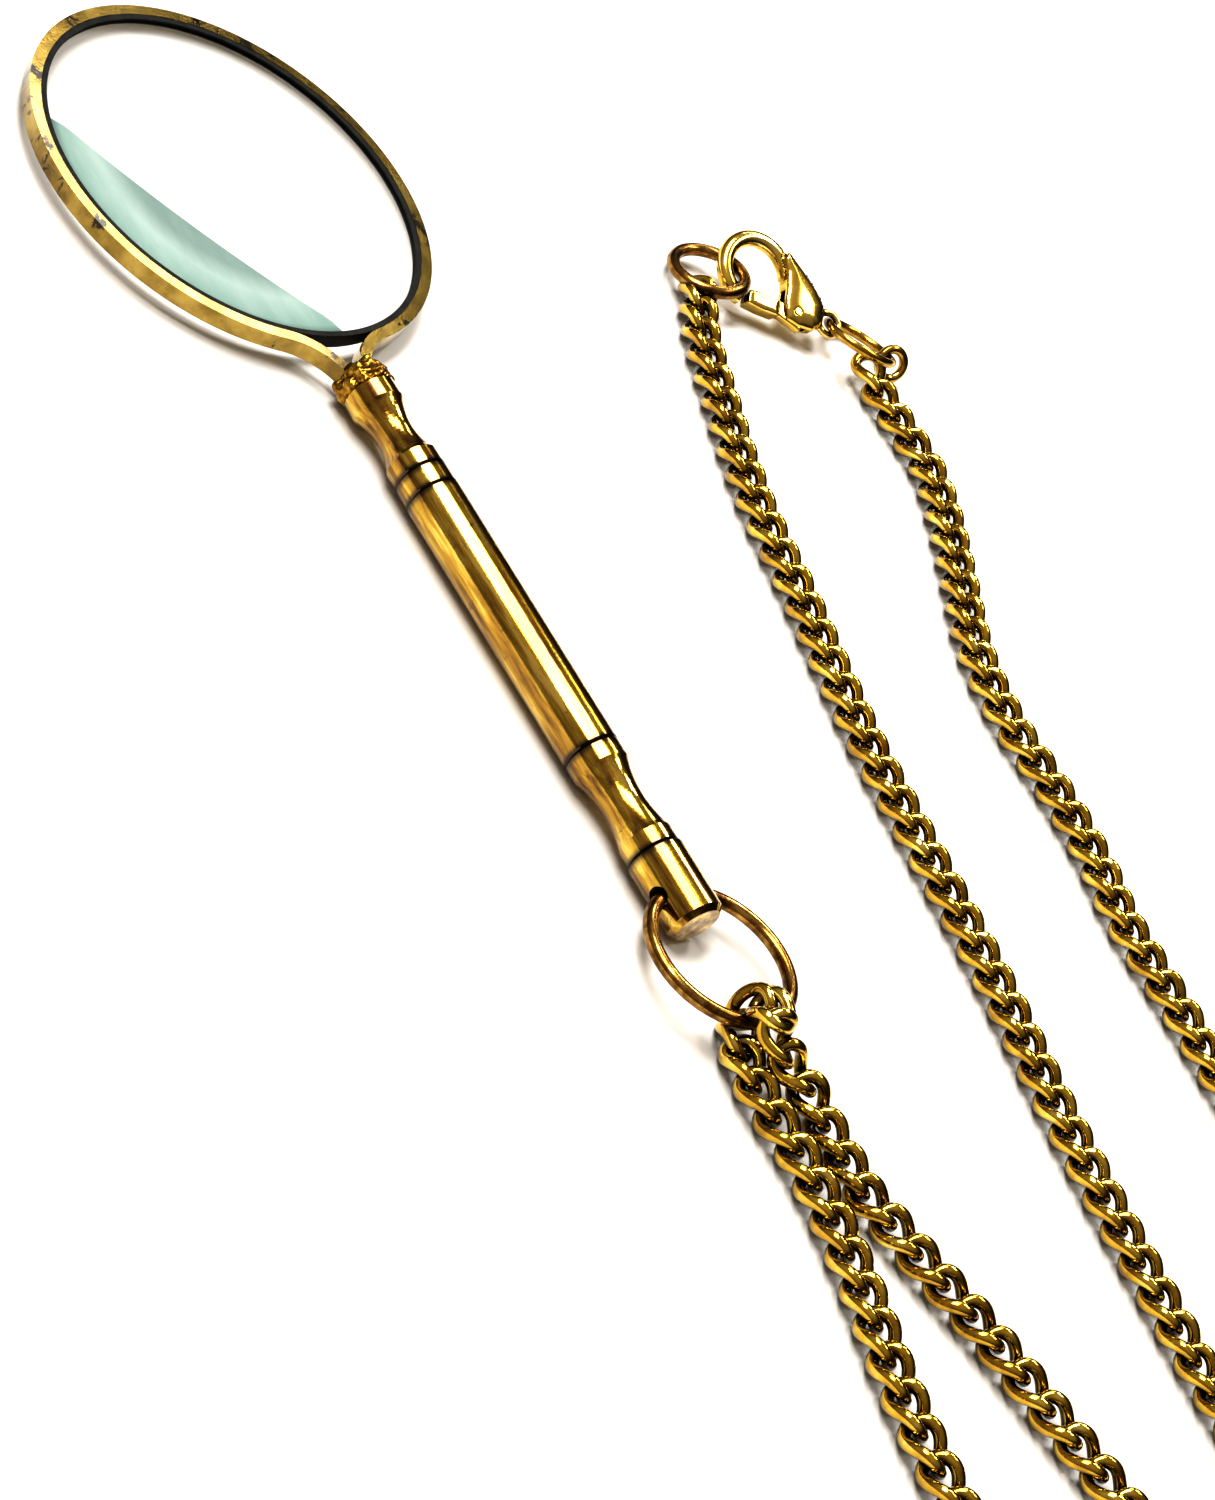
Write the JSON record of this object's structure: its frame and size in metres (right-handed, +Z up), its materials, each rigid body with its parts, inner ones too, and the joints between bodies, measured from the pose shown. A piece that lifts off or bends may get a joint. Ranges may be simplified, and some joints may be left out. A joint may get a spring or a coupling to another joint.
{
  "type": "pendant magnifier",
  "caption": "Pendant magnifier: a round biconvex lens in a brass strip rim on a turned brass handle, hung by a wire ring from a curb-link necklace that closes with a lobster clasp.",
  "frame": {"origin": "Under the middle of the magnifier with its hanging ring, on the plane that the part lies on; the necklace is left out.", "axes": "+Y along the handle from the hanging ring to the lens, +Z up from the table through the lens, +X to the side where the clasp lies."},
  "size_m": [0.0969, 0.2096, 0.0076],
  "materials": {
    "glass": "clear, polished",
    "liner": "matte black",
    "brass": "turned, polished, tarnished brown in places",
    "dark_brass": "dark, tarnished",
    "chain": "polished, yellow",
    "clasp": "cast and polished, bright yellow",
    "steel": "plain"
  },
  "bodies": {
    "chain": {"chain_fold": "chain", "chain_right_run": "chain", "chain_inner_turn": "chain", "chain_long_low": "chain", "chain_long_mid": "chain", "chain_long_high": "chain", "chain_left_run": "chain", "chain_outer_left": "chain", "chain_outer_turn": "chain", "chain_outer_right": "chain", "chain_short_low": "chain", "chain_short_high": "chain", "end_ring": "dark_brass", "clasp_body": "clasp", "clasp_pin": "clasp", "clasp_spring": "steel", "clasp_ring": "clasp", "small_ring": "clasp"},
    "hanging_ring": {"hanging_ring": "dark_brass"},
    "magnifier": {"lens": "glass", "lens_liner": "liner", "rim_strip": "brass", "braze": "dark_brass", "ferrule": "brass", "collar": "brass", "barrel": "brass", "neck": "brass", "tie_rod": "steel", "end_cap": "brass"},
    "clasp_lever": {"clasp_lever": "clasp"}
  },
  "joints": [
    {"name": "ring_on_chain", "type": "hinge", "parent": "chain", "child": "hanging_ring", "pos_m": [0, -0.05631, 0.00334], "axis": [1, 0, 0], "range_deg": [-3, 20]},
    {"name": "magnifier_on_ring", "type": "hinge", "parent": "hanging_ring", "child": "magnifier", "pos_m": [0, -0.04313, 0.0026], "axis": [1, 0, 0], "range_deg": [-130, 130]},
    {"name": "clasp_lever", "type": "hinge", "parent": "chain", "child": "clasp_lever", "pos_m": [0.06407, 0.01942, 0.00237], "axis": [0.2271, 0.3564, -0.9063], "range_deg": [0, 20], "stiffness_Nm_per_rad": 0.004, "springref_deg": -11.46}
  ]
}
